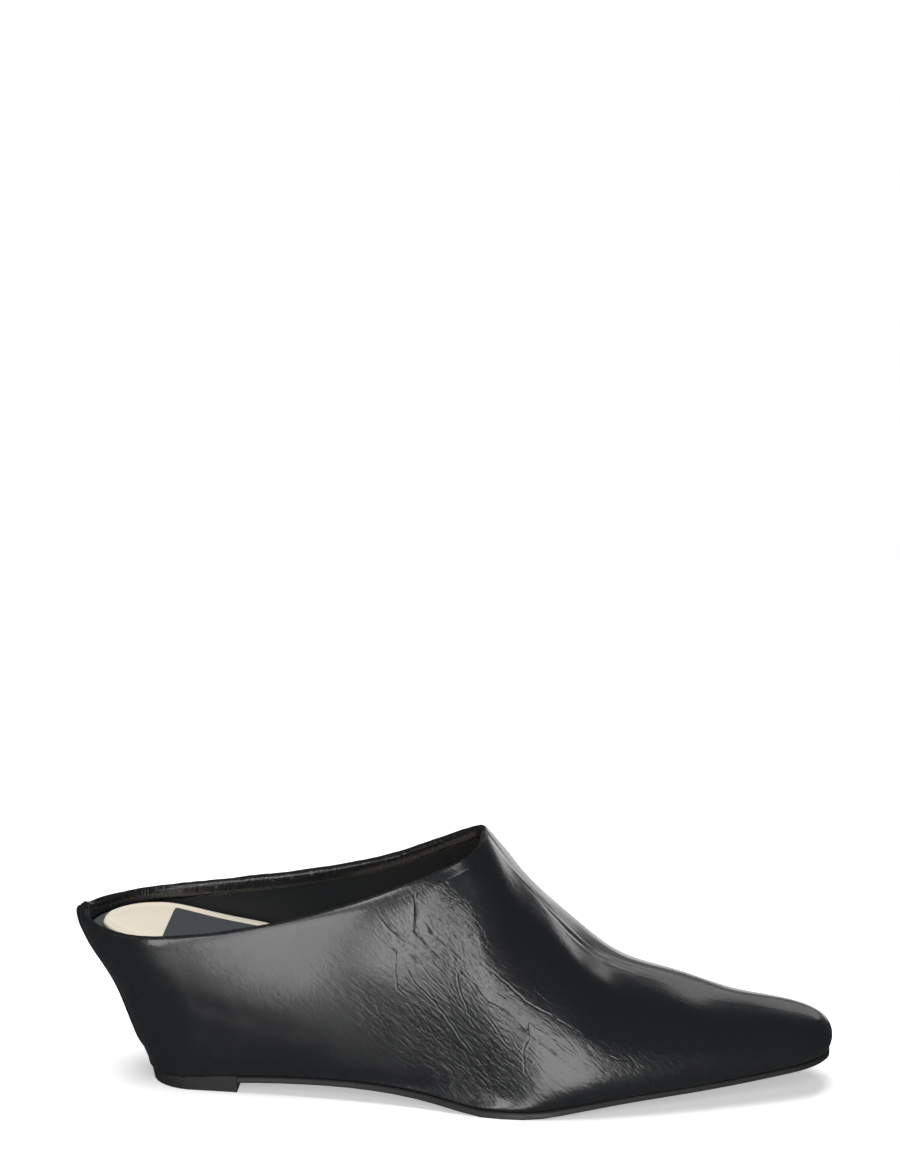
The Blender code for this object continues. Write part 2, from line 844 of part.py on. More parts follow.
def main():
    for old in list(bpy.data.objects):
        bpy.data.objects.remove(old)
    leather = make_material("black_leather", (0.012, 0.012, 0.013), 0.28)
    rubber = make_material("black_rubber", (0.018, 0.018, 0.019), 0.55)
    board = make_material("wedge_cork", (0.30, 0.20, 0.12), 0.85)
    cover = make_material("charcoal_cover", (0.06, 0.065, 0.07), 0.75)
    cream = make_material("cream_sock", (0.74, 0.69, 0.59), 0.70)
    walls = upper_walls()
    columns = inner_columns(walls[1])
    pieces = [
        make_upper(walls, leather),
        make_wedge(columns, board),
        make_pad("footbed", columns, footbed_bottom, footbed_top, close_fit, cover),
        make_pad("sock", columns, sock_bottom, sock_top, sock_margin, cream),
        make_outsole(rubber),
        make_lift(rubber),
    ]
    centre_on_floor(pieces)


main()
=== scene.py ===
# Heeled mule in black crinkled leather, right shoe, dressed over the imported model.
import math

import bpy
import numpy as np
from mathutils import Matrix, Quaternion, Vector, noise


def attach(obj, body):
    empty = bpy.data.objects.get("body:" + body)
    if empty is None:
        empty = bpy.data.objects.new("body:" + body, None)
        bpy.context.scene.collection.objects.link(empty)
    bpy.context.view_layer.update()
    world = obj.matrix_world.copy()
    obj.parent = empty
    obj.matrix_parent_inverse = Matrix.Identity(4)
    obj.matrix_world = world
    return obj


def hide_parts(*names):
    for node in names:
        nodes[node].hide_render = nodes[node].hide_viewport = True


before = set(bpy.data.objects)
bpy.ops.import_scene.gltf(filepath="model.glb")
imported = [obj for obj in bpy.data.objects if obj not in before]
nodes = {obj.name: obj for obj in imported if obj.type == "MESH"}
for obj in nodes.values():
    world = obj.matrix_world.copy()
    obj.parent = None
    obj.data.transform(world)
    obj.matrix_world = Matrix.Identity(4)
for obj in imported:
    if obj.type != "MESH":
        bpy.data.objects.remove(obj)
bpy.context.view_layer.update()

mm = 0.001

# The studio: camera, floor, backdrop light and lamps
studio = {
    "cameraPlace": (99.04 * mm, -1429.98 * mm, 491.50 * mm),
    "cameraDown": 12.549,  # degrees below level
    "cameraTurn": 4.0,  # degrees round towards the toe
    "lens": 135.0,
    "floorSide": 1.7,
    "floorGlow": 0.42,
    "floorShade": (0.93, 0.93, 0.93, 1),
    "backdropLight": 1.0,
    "roomLight": 0.045,
    "roomColour": (0.9, 0.95, 1.0, 1),
}
lamps = {
    # place in metres, size across and up in metres, watts, lean in degrees, seen in the gloss
    "overheadLamp": ((-0.10, 0.0, 1.7), (1.6, 1.2), 34, 0, False),
    "frontLamp": ((0.5, -1.9, 1.0), (1.2, 0.9), 14, 0, False),
    "stripLamp": ((-0.35, -1.00, 0.20), (0.19, 0.95), 2.7, 9, True),
    "ballLamp": ((0.10, -1.00, -0.20), (0.72, 0.72), 6.0, 0, True),
    "rimLamp": ((-0.09, -0.50, 1.09), (0.40, 0.40), 1.2, 0, True),
    "backLamp": ((0.10, 1.00, -0.02), (0.60, 0.20), 0.35, 0, True),
    "toeLamp": ((0.22, 1.00, 0.28), (0.40, 0.16), 0.10, 0, True),
}
lampAim = (0.02, -0.02, 0.04)


def deselectAll():
    if bpy.context.mode != "OBJECT":
        bpy.ops.object.mode_set(mode="OBJECT")
    bpy.ops.object.select_all(action="DESELECT")


def makeActive(piece):
    deselectAll()
    piece.select_set(True)
    bpy.context.view_layer.objects.active = piece


def addCamera():
    bpy.ops.object.camera_add(location=studio["cameraPlace"])
    camera = bpy.context.active_object
    camera.name = "photoCamera"
    down = math.radians(90 - studio["cameraDown"])
    camera.rotation_euler = (down, 0, math.radians(studio["cameraTurn"]))
    camera.data.lens = studio["lens"]
    camera.data.clip_end = 60
    bpy.context.scene.camera = camera


def addLamp(name, place, size, watts, lean, inGloss):
    deselectAll()
    bpy.ops.object.light_add(type="AREA", location=place)
    lamp = bpy.context.active_object
    lamp.name = name
    lamp.data.shape = "RECTANGLE"
    lamp.data.size, lamp.data.size_y = size
    lamp.data.energy = watts
    aim = Vector(lampAim) - Vector(place)
    facing = aim.to_track_quat("-Z", "Y")
    facing.rotate(Quaternion(aim, math.radians(lean)))
    lamp.rotation_euler = facing.to_euler()
    lamp.visible_camera = False
    lamp.visible_glossy = inGloss


def addWorld():
    world = bpy.data.worlds.new("paleStudio")
    bpy.context.scene.world = world
    world.use_nodes = True
    tree = world.node_tree
    tree.nodes.clear()
    seen = tree.nodes.new("ShaderNodeLightPath")
    room = tree.nodes.new("ShaderNodeBackground")
    room.inputs["Color"].default_value = studio["roomColour"]
    room.inputs["Strength"].default_value = studio["roomLight"]
    backdrop = tree.nodes.new("ShaderNodeBackground")
    backdrop.inputs["Color"].default_value = (1, 1, 1, 1)
    backdrop.inputs["Strength"].default_value = studio["backdropLight"]
    mix = tree.nodes.new("ShaderNodeMixShader")
    out = tree.nodes.new("ShaderNodeOutputWorld")
    tree.links.new(seen.outputs["Is Camera Ray"], mix.inputs[0])
    tree.links.new(room.outputs[0], mix.inputs[1])
    tree.links.new(backdrop.outputs[0], mix.inputs[2])
    tree.links.new(mix.outputs[0], out.inputs["Surface"])


def addFloor():
    deselectAll()
    bpy.ops.mesh.primitive_plane_add(size=studio["floorSide"], location=(0, 0, 0))
    floor = bpy.context.active_object
    floor.name = "studioFloor"
    paper = bpy.data.materials.new("paleFloor")
    paper.use_nodes = True
    surface = paper.node_tree.nodes["Principled BSDF"]
    surface.inputs["Base Color"].default_value = studio["floorShade"]
    surface.inputs["Roughness"].default_value = 0.95
    surface.inputs["Specular IOR Level"].default_value = 0.1
    surface.inputs["Emission Color"].default_value = (1, 1, 1, 1)
    surface.inputs["Emission Strength"].default_value = studio["floorGlow"]
    floor.data.materials.append(paper)
    floor.visible_glossy = False
    floor.visible_shadow = False


bpy.context.scene.view_settings.view_transform = "Standard"
addCamera()
for lampName, lampLook in lamps.items():
    addLamp(lampName, *lampLook)
addWorld()
addFloor()
print("studio ready")


# Shared effects
def groupSocket(group, name, kind, direction, value=None):
    socket = group.interface.new_socket(name=name, in_out=direction, socket_type=kind)
    if value is not None:
        socket.default_value = value


def addNode(tree, kind, **values):
    node = tree.nodes.new(kind)
    for name, value in values.items():
        setattr(node, name, value)
    return node


def mathNode(tree, operation, first, second=None):
    node = addNode(tree, "ShaderNodeMath", operation=operation)
    for place, value in enumerate((first, second)):
        if value is None:
            continue
        if isinstance(value, (int, float)):
            node.inputs[place].default_value = value
        else:
            tree.links.new(value, node.inputs[place])
    return node.outputs[0]


def rangeNode(tree, value, low, high, toLow=0.0, toHigh=1.0):
    node = addNode(tree, "ShaderNodeMapRange", interpolation_type="SMOOTHSTEP")
    tree.links.new(value, node.inputs["Value"])
    node.inputs["From Min"].default_value = low
    node.inputs["From Max"].default_value = high
    node.inputs["To Min"].default_value = toLow
    node.inputs["To Max"].default_value = toHigh
    return node.outputs["Result"]


def makeCrackleGroup():
    # Fine folded lines: cell borders on a warped, stretched pattern
    group = bpy.data.node_groups.new("crackleLines", "ShaderNodeTree")
    groupSocket(group, "Vector", "NodeSocketVector", "INPUT")
    groupSocket(group, "Scale", "NodeSocketFloat", "INPUT", 300.0)
    groupSocket(group, "Warp", "NodeSocketFloat", "INPUT", 0.002)
    groupSocket(group, "Width", "NodeSocketFloat", "INPUT", 0.08)
    groupSocket(group, "Lines", "NodeSocketFloat", "OUTPUT")
    entry = group.nodes.new("NodeGroupInput")
    leave = group.nodes.new("NodeGroupOutput")
    drift = addNode(group, "ShaderNodeTexNoise", noise_dimensions="3D")
    drift.inputs["Scale"].default_value = 160
    drift.inputs["Detail"].default_value = 3
    group.links.new(entry.outputs["Vector"], drift.inputs["Vector"])
    centred = addNode(group, "ShaderNodeVectorMath", operation="SUBTRACT")
    group.links.new(drift.outputs["Color"], centred.inputs[0])
    centred.inputs[1].default_value = (0.5, 0.5, 0.5)
    pushed = addNode(group, "ShaderNodeVectorMath", operation="SCALE")
    group.links.new(centred.outputs[0], pushed.inputs[0])
    group.links.new(entry.outputs["Warp"], pushed.inputs["Scale"])
    warped = addNode(group, "ShaderNodeVectorMath", operation="ADD")
    group.links.new(entry.outputs["Vector"], warped.inputs[0])
    group.links.new(pushed.outputs[0], warped.inputs[1])
    cells = addNode(group, "ShaderNodeTexVoronoi", feature="DISTANCE_TO_EDGE")
    group.links.new(warped.outputs[0], cells.inputs["Vector"])
    group.links.new(entry.outputs["Scale"], cells.inputs["Scale"])
    share = mathNode(group, "DIVIDE", cells.outputs["Distance"], entry.outputs["Width"])
    group.links.new(rangeNode(group, share, 0.0, 1.0), leave.inputs["Lines"])
    return group


def makeGrainGroup():
    # Soft leather grain: two sizes of noise
    group = bpy.data.node_groups.new("leatherGrain", "ShaderNodeTree")
    groupSocket(group, "Vector", "NodeSocketVector", "INPUT")
    groupSocket(group, "Coarse", "NodeSocketFloat", "INPUT", 500.0)
    groupSocket(group, "Fine", "NodeSocketFloat", "INPUT", 2400.0)
    groupSocket(group, "Height", "NodeSocketFloat", "OUTPUT")
    entry = group.nodes.new("NodeGroupInput")
    leave = group.nodes.new("NodeGroupOutput")
    coarse = addNode(group, "ShaderNodeTexNoise", noise_dimensions="3D")
    fine = addNode(group, "ShaderNodeTexNoise", noise_dimensions="3D")
    for pattern, size in ((coarse, "Coarse"), (fine, "Fine")):
        group.links.new(entry.outputs["Vector"], pattern.inputs["Vector"])
        group.links.new(entry.outputs[size], pattern.inputs["Scale"])
        pattern.inputs["Detail"].default_value = 2
    share = mathNode(group, "MULTIPLY", fine.outputs["Fac"], 0.35)
    group.links.new(mathNode(group, "ADD", coarse.outputs["Fac"], share), leave.inputs["Height"])
    return group


crackleLines = makeCrackleGroup()
leatherGrain = makeGrainGroup()


def newMaterial(name, colour, roughness, coat=0.0, coatRoughness=0.1, specular=0.5):
    material = bpy.data.materials.new(name)
    material.use_nodes = True
    surface = material.node_tree.nodes["Principled BSDF"]
    surface.inputs["Base Color"].default_value = (*colour, 1)
    surface.inputs["Roughness"].default_value = roughness
    surface.inputs["Coat Weight"].default_value = coat
    surface.inputs["Coat Roughness"].default_value = coatRoughness
    surface.inputs["Specular IOR Level"].default_value = specular
    return material


def placeVector(tree, turn=(0, 0, 0), stretch=(1, 1, 1)):
    # Object coordinates, turned first and then stretched
    coords = addNode(tree, "ShaderNodeTexCoord")
    turned = addNode(tree, "ShaderNodeMapping", vector_type="POINT")
    tree.links.new(coords.outputs["Object"], turned.inputs["Vector"])
    turned.inputs["Rotation"].default_value = [math.radians(angle) for angle in turn]
    scaled = addNode(tree, "ShaderNodeMapping", vector_type="POINT")
    tree.links.new(turned.outputs[0], scaled.inputs["Vector"])
    scaled.inputs["Scale"].default_value = stretch
    return scaled.outputs[0]


def addCrackle(tree, vector, scale, warp, width):
    lines = addNode(tree, "ShaderNodeGroup", node_tree=crackleLines)
    tree.links.new(vector, lines.inputs["Vector"])
    lines.inputs["Scale"].default_value = scale
    lines.inputs["Warp"].default_value = warp
    lines.inputs["Width"].default_value = width
    return lines.outputs["Lines"]


def addGrain(tree, vector, coarse, fine):
    grain = addNode(tree, "ShaderNodeGroup", node_tree=leatherGrain)
    tree.links.new(vector, grain.inputs["Vector"])
    grain.inputs["Coarse"].default_value = coarse
    grain.inputs["Fine"].default_value = fine
    return grain.outputs["Height"]


def addBump(tree, height, depth, under=None):
    bump = addNode(tree, "ShaderNodeBump")
    bump.inputs["Strength"].default_value = 1.0
    bump.inputs["Distance"].default_value = depth
    tree.links.new(height, bump.inputs["Height"])
    if under is not None:
        tree.links.new(under, bump.inputs["Normal"])
    return bump.outputs["Normal"]


# Black leather of the outside: glossy, crinkled, its fine folds running down across the ball
leatherLook = {
    "colour": (0.0075, 0.0080, 0.0088),
    "roughness": 0.25,
    "coat": 0.6,
    "coatRoughness": 0.07,
    "foldTurn": 41.0,  # degrees the folds fall towards the toe
    "foldStretch": (0.25, 0.8, 1),
    "flexed": ((14, -36, 42), 22, 58),  # centre, full within and none beyond, in millimetres
    "tread": ((66, -30, 24), 10, 40),
    "unworn": 0.12,
    "folds": (330, 0.004, 0.16),  # scale, warp and width of the lines
    "crinkle": (700, 0.003, 0.22),
    "fibreSize": 950,
    "patchSize": 45,
    "grainSizes": (900, 3000),
    "fibreDepth": 0.11 * mm,
    "foldDepth": 0.030 * mm,
    "crinkleDepth": 0.016 * mm,
    "grainDepth": 0.010 * mm,
}


def nearPlace(tree, centre, inner, outer):
    # 1 within inner of a place on the shoe, falling to 0 at outer
    coords = addNode(tree, "ShaderNodeTexCoord")
    away = addNode(tree, "ShaderNodeVectorMath", operation="DISTANCE")
    tree.links.new(coords.outputs["Object"], away.inputs[0])
    away.inputs[1].default_value = [value * mm for value in centre]
    return rangeNode(tree, away.outputs["Value"], inner * mm, outer * mm, 1.0, 0.0)


def makeLeather():
    look = leatherLook
    shine = (look["roughness"], look["coat"], look["coatRoughness"])
    material = newMaterial("blackLeather", look["colour"], *shine)
    tree = material.node_tree
    surface = tree.nodes["Principled BSDF"]
    plain = placeVector(tree)
    along = placeVector(tree, turn=(0, -look["foldTurn"], 0), stretch=look["foldStretch"])
    flexed = nearPlace(tree, *look["flexed"])
    tread = nearPlace(tree, *look["tread"])
    worn = mathNode(tree, "ADD", mathNode(tree, "MAXIMUM", flexed, tread), look["unworn"])
    folds = addCrackle(tree, along, *look["folds"])
    crinkle = addCrackle(tree, along, *look["crinkle"])
    fibres = addNode(tree, "ShaderNodeTexNoise", noise_dimensions="3D")
    tree.links.new(along, fibres.inputs["Vector"])
    fibres.inputs["Scale"].default_value = look["fibreSize"]
    fibres.inputs["Detail"].default_value = 4
    fibres.inputs["Roughness"].default_value = 0.6
    patches = addNode(tree, "ShaderNodeTexNoise", noise_dimensions="3D")
    tree.links.new(plain, patches.inputs["Vector"])
    patches.inputs["Scale"].default_value = look["patchSize"]
    patchy = rangeNode(tree, patches.outputs["Fac"], 0.35, 0.65, 0.2, 1.0)
    foldShare = mathNode(tree, "MULTIPLY", folds, patchy)
    soft = addBump(tree, mathNode(tree, "MULTIPLY", fibres.outputs["Fac"], worn), look["fibreDepth"])
    folded = addBump(tree, mathNode(tree, "MULTIPLY", foldShare, worn), look["foldDepth"], soft)
    crinkled = addBump(tree, mathNode(tree, "MULTIPLY", crinkle, worn), look["crinkleDepth"], folded)
    grained = addBump(tree, addGrain(tree, plain, *look["grainSizes"]), look["grainDepth"], crinkled)
    tree.links.new(grained, surface.inputs["Normal"])
    tree.links.new(grained, surface.inputs["Coat Normal"])
    smoothest, dullest = look["roughness"] - 0.05, look["roughness"] + 0.06
    rough = rangeNode(tree, patches.outputs["Fac"], 0.3, 0.7, smoothest, dullest)
    tree.links.new(rough, surface.inputs["Roughness"])
    return material


# The folded facing inside the collar: the same leather, puckered across the fold
facingLook = {
    "colour": (0.0085, 0.009, 0.0095),
    "roughness": 0.30,
    "coat": 0.6,
    "coatRoughness": 0.16,
    "puckerStretch": (1, 0.7, 0.45),
    "puckers": (520, 0.002, 0.25),
    "pucker": 0.16 * mm,
    "grainSizes": (800, 3200),
    "grainDepth": 0.03 * mm,
}


def makeFacing():
    look = facingLook
    shine = (look["roughness"], look["coat"], look["coatRoughness"])
    material = newMaterial("foldedFacing", look["colour"], *shine)
    tree = material.node_tree
    surface = tree.nodes["Principled BSDF"]
    plain = placeVector(tree)
    pucker = addCrackle(tree, placeVector(tree, stretch=look["puckerStretch"]), *look["puckers"])
    folded = addBump(tree, pucker, look["pucker"])
    grained = addBump(tree, addGrain(tree, plain, *look["grainSizes"]), look["grainDepth"], folded)
    tree.links.new(grained, surface.inputs["Normal"])
    return material


# Lining: matte black with a soft grain
liningLook = {
    "colour": (0.0150, 0.0168, 0.0190),
    "roughness": 0.60,
    "specular": 0.35,
    "grainSizes": (350, 1800),
    "grainDepth": 0.07 * mm,
}


def makeLining():
    look = liningLook
    material = newMaterial("blackLining", look["colour"], look["roughness"], specular=look["specular"])
    tree = material.node_tree
    surface = tree.nodes["Principled BSDF"]
    grained = addBump(tree, addGrain(tree, placeVector(tree), *look["grainSizes"]), look["grainDepth"])
    tree.links.new(grained, surface.inputs["Normal"])
    return material


blackLeather = makeLeather()
foldedFacing = makeFacing()
blackLining = makeLining()
print("leathers mixed")


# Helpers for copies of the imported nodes
mergeLook = {
    "reach": 0.003 * mm,
    "faceAngle": math.radians(80),
    "shapeAngle": math.radians(100),
    "sharpAngle": math.radians(38),
}


def mergedCopy(nodeName, pieceName):
    deselectAll()
    piece = bpy.data.objects.new(pieceName, nodes[nodeName].data.copy())
    piece.data.name = pieceName
    bpy.context.scene.collection.objects.link(piece)
    piece.data.materials.clear()
    makeActive(piece)
    bpy.ops.mesh.customdata_custom_splitnormals_clear()
    bpy.ops.object.mode_set(mode="EDIT")
    bpy.context.tool_settings.mesh_select_mode = (False, False, True)
    bpy.ops.mesh.select_all(action="SELECT")
    bpy.ops.mesh.remove_doubles(threshold=mergeLook["reach"])
    flat, square = mergeLook["faceAngle"], mergeLook["shapeAngle"]
    bpy.ops.mesh.tris_convert_to_quads(face_threshold=flat, shape_threshold=square)
    bpy.ops.object.mode_set(mode="OBJECT")
    bpy.ops.object.shade_smooth()
    return piece


def finishPiece(piece, slotName, *replaced):
    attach(piece, "root")
    if replaced:
        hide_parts(*replaced)


def selectFaces(piece, wanted):
    # wanted holds one yes or no for each face; leaves the piece in edit mode
    makeActive(piece)
    bpy.context.tool_settings.mesh_select_mode = (False, False, True)
    bpy.ops.object.mode_set(mode="EDIT")
    bpy.ops.mesh.select_all(action="DESELECT")
    bpy.ops.object.mode_set(mode="OBJECT")
    piece.data.polygons.foreach_set("select", [bool(mark) for mark in wanted])
    bpy.ops.object.mode_set(mode="EDIT")


def selectEdges(piece, wanted):
    makeActive(piece)
    bpy.context.tool_settings.mesh_select_mode = (False, True, False)
    bpy.ops.object.mode_set(mode="EDIT")
    bpy.ops.mesh.select_all(action="DESELECT")
    bpy.ops.object.mode_set(mode="OBJECT")
    piece.data.edges.foreach_set("select", [bool(mark) for mark in wanted])
    bpy.ops.object.mode_set(mode="EDIT")


def cornerPlaces(piece):
    places = np.empty(len(piece.data.vertices) * 3, np.float32)
    piece.data.vertices.foreach_get("co", places)
    return places.reshape(-1, 3).astype(float)


def cornerNormals(piece):
    normals = np.empty(len(piece.data.vertices) * 3, np.float32)
    piece.data.vertices.foreach_get("normal", normals)
    return normals.reshape(-1, 3).astype(float)


def movePlaces(piece, places):
    piece.data.vertices.foreach_set("co", places.astype(np.float32).ravel())
    piece.data.update()


def faceCentres(piece):
    centres = np.empty(len(piece.data.polygons) * 3, np.float32)
    piece.data.polygons.foreach_get("center", centres)
    return centres.reshape(-1, 3).astype(float)


def faceNormals(piece):
    normals = np.empty(len(piece.data.polygons) * 3, np.float32)
    piece.data.polygons.foreach_get("normal", normals)
    return normals.reshape(-1, 3).astype(float)


def lineDistance(points, starts, ends):
    # Distance from each point to the nearest of these straight pieces, and how far along them all it lies
    nearest = np.full(len(points), 1e9)
    share = np.zeros(len(points))
    for i, (start, end) in enumerate(zip(starts, ends)):
        run = end - start
        length = max(float(run @ run), 1e-18)
        part = np.clip((points - start) @ run / length, 0, 1)
        gap = np.linalg.norm(points - start - part[:, None] * run, axis=1)
        closer = gap < nearest
        nearest[closer] = gap[closer]
        share[closer] = (i + part[closer]) / len(starts)
    return nearest, share


def smoothThrough(piece, levels, rounds=2):
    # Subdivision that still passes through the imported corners
    wanted = cornerPlaces(piece)
    makeActive(piece)
    smooth = piece.modifiers.new("smooth", "SUBSURF")
    smooth.levels = levels
    smooth.render_levels = levels
    for _ in range(rounds):
        bpy.context.view_layer.update()
        trial = piece.evaluated_get(bpy.context.evaluated_depsgraph_get())
        reached = cornerPlaces(trial)[: len(wanted)]
        movePlaces(piece, cornerPlaces(piece) + wanted - reached)
    bpy.ops.object.modifier_apply(modifier="smooth")


def splitOff(piece, pieceName, materialIndex):
    # A new piece from the faces that carry one material
    part = piece.copy()
    part.data = piece.data.copy()
    part.name = pieceName
    part.data.name = pieceName
    bpy.context.scene.collection.objects.link(part)
    selectFaces(part, [face.material_index != materialIndex for face in part.data.polygons])
    bpy.ops.mesh.delete(type="FACE")
    bpy.ops.object.mode_set(mode="OBJECT")
    material = part.data.materials[materialIndex]
    part.data.materials.clear()
    part.data.materials.append(material)
    part.data.polygons.foreach_set("material_index", [0] * len(part.data.polygons))
    return part


# The shell of the upper, told apart into outside, folded facing and lining
shell = {
    "facingReach": 5.0 * mm,
    "rimReach": 2.3 * mm,
    "collarAbove": 45 * mm,
    "rimUpward": 0.3,
    "heartLine": ((-105, 1, 29), (-40, 1, 33), (0, 0, 30), (40, 1, 21), (80, 4, 16), (112, 6, 16)),
}


def sortShellFaces(piece):
    # 0 outside, 1 folded facing and rim, 2 lining
    centres = faceCentres(piece)
    normals = faceNormals(piece)
    line = np.array(shell["heartLine"], float) * mm
    heart = np.column_stack([np.interp(centres[:, 0], line[:, 0], line[:, i]) for i in range(3)])
    outward = ((centres - heart) * normals).sum(1) > 0
    faceOf = {}
    for face in piece.data.polygons:
        for edge in face.edge_keys:
            faceOf.setdefault(edge, []).append(face.index)
    places = cornerPlaces(piece)
    rim = []
    for (first, second), faces in faceOf.items():
        if outward[faces[0]] != outward[faces[-1]] and places[first, 2] > shell["collarAbove"]:
            rim.append((first, second))
    starts = places[[edge[0] for edge in rim]]
    ends = places[[edge[1] for edge in rim]]
    near, _ = lineDistance(centres, starts, ends)
    facing = ~outward & (near < shell["facingReach"])
    facing |= outward & (near < shell["rimReach"]) & (normals[:, 2] > shell["rimUpward"])
    kinds = np.where(facing, 1, np.where(outward, 0, 2))
    piece.data.polygons.foreach_set("material_index", kinds.astype(int).tolist())
    return rimLoop(places, rim)


def rimLoop(places, rim):
    # The collar's inner edge as one line each side: from the back seam forward
    beside = {}
    for first, second in rim:
        beside.setdefault(first, []).append(second)
        beside.setdefault(second, []).append(first)
    back = min(beside, key=lambda corner: places[corner, 0])
    sides = {}
    for start in beside[back]:
        line = [back, start]
        while len(line) < len(rim) // 2:
            onward = [corner for corner in beside[line[-1]] if corner != line[-2]]
            line.append(onward[0])
        sides[1 if places[line[3], 1] > 0 else -1] = places[line]
    return sides


upperShell = mergedCopy("upper", "upperShell")
for material in (blackLeather, foldedFacing, blackLining):
    upperShell.data.materials.append(material)
rimSides = sortShellFaces(upperShell)
smoothThrough(upperShell, 2)
leatherSkin = splitOff(upperShell, "leatherSkin", 0)
toplineFold = splitOff(upperShell, "toplineFold", 1)
liningSkin = splitOff(upperShell, "liningSkin", 2)
bpy.data.objects.remove(upperShell)
print("upper split:", [len(piece.data.polygons) for piece in (leatherSkin, toplineFold, liningSkin)])

# Creases of the leather, in millimetres: (x, z) on the outer side, (x, y) on the top
creaseLook = {
    "wobble": 0.32 * mm,
    "wobbleSize": 300,
    "shiver": 0.13 * mm,
    "shiverSize": 1100,
    "brokenSize": 240,
    "seed": 7,
    "nearReach": 4.5 * mm,
    "lineReach": 1.3 * mm,
    "edgeReach": 0.62 * mm,
    "refineFacing": -0.15,
    "sideFacing": -0.05,
    "topFacing": 0.2,
    "fade": 0.6,
    "lipHeight": 0.30,  # share of the depth
    "lipPlace": 2.1,  # in crease widths
    "lipWidth": 1.1,
}
creases = [
    # seen from, width, depth, points
    ("side", 0.24, 0.15, ((-11, 74), (-10.5, 67.5), (-11, 62), (-6, 56.5), (-0.5, 52), (3.5, 50))),
    (
        *("side", 0.24, 0.16),
        ((3.5, 50), (9, 46), (14, 40.5), (21, 37), (28, 30), (33.5, 26.5), (40.5, 21), (47, 16)),
    ),
    ("side", 0.26, 0.18, ((28, 40.5), (27.5, 33), (28, 29), (26, 24.5), (26.5, 16.5))),
    ("side", 0.22, 0.12, ((3.5, 50), (4.5, 44), (7, 37.5), (8, 33.5))),
    (
        *("side", 0.24, 0.11),
        ((-2, 65), (4, 60), (12.5, 52.5), (19, 48), (27, 41), (34.5, 37), (41, 33), (47, 29.5)),
    ),
    ("side", 0.22, 0.08, ((4.5, 66), (8, 61.5), (12.5, 58.5), (16.5, 55.5))),
    ("side", 0.24, 0.11, ((-21.5, 58.5), (-17, 55), (-17, 49), (-16.5, 40.5))),
    (
        *("side", 0.24, 0.12),
        ((-14.5, 51), (-10.5, 44.5), (-3.5, 38), (0.5, 33), (5, 26.5), (9, 21.5), (13.5, 17.5)),
    ),
    ("side", 0.24, 0.12, ((-24, 69), (-19.5, 62.5), (-14.5, 59), (-7.5, 55))),
    ("side", 0.22, 0.10, ((21, 31.5), (24.5, 26), (26, 24.5))),
    ("side", 0.22, 0.10, ((-12, 56), (-6, 49), (1, 43), (6, 36), (11, 30))),
    ("side", 0.22, 0.09, ((-8, 66), (-5, 61), (2, 56), (8, 51))),
    ("side", 0.22, 0.09, ((9, 40), (15, 34), (20, 27), (26, 20), (34, 14))),
    ("side", 0.22, 0.09, ((34, 30), (39, 26), (45, 22), (50, 19))),
    ("side", 0.22, 0.08, ((27, 47), (31, 43), (36, 39))),
    ("side", 0.22, 0.08, ((-18, 62), (-13, 55), (-8, 50), (-2, 44), (2, 38))),
    ("side", 0.22, 0.08, ((14, 46), (20, 42), (26, 36), (33, 31))),
    ("side", 0.22, 0.08, ((52, 24), (58, 21), (64, 21))),
]
# Broad soft folds: towards the back seam, along the wedge, and over the ridge of the vamp
folds = [
    ("side", 2.8, 0.07, ((-100, 37), (-80, 32), (-60, 27), (-39, 23))),
    ("side", 1.5, 0.07, ((-118, 49), (-107, 46), (-91, 40.5))),
    ("side", 1.4, 0.07, ((-115, 41), (-104, 38.5), (-90, 34))),
    ("side", 1.2, 0.06, ((-112, 33), (-103, 32), (-92, 30))),
    ("side", 1.1, 0.05, ((-117, 45), (-108, 42), (-99, 39))),
    ("top", 1.3, 0.11, ((21, -2), (28, 0), (38, 1), (48, 2), (57, 5))),
    ("top", 0.9, 0.06, ((24, -6), (33, -4), (44, -4), (55, -2), (66, 2))),
    ("top", 0.9, 0.05, ((40, 8), (52, 9), (64, 8), (74, 5))),
    ("top", 0.7, 0.05, ((62, -30), (70, -26), (78, -22), (90, -14))),
    ("top", 0.7, 0.05, ((69, -31), (84, -24), (101, -15))),
]


def creasePoints(places, seenFrom):
    return places[:, [0, 2]] if seenFrom == "side" else places[:, :2]


def creaseLines(points):
    line = np.array(points, float) * mm
    return line[:-1], line[1:]


def nearCreases(places, normals, reach):
    found = np.zeros(len(places), bool)
    for seenFrom, _, _, points in creases:
        near, _ = lineDistance(creasePoints(places, seenFrom), *creaseLines(points))
        found |= (normals[:, 1] < creaseLook["refineFacing"]) & (near < reach)
    return found


def refineNearCreases(piece, reach):
    selectFaces(piece, nearCreases(faceCentres(piece), faceNormals(piece), reach))
    bpy.ops.mesh.subdivide(number_cuts=1)
    bpy.ops.object.mode_set(mode="OBJECT")


def noiseAt(places, size):
    return np.array([noise.noise_vector(Vector(place) * size) for place in places])


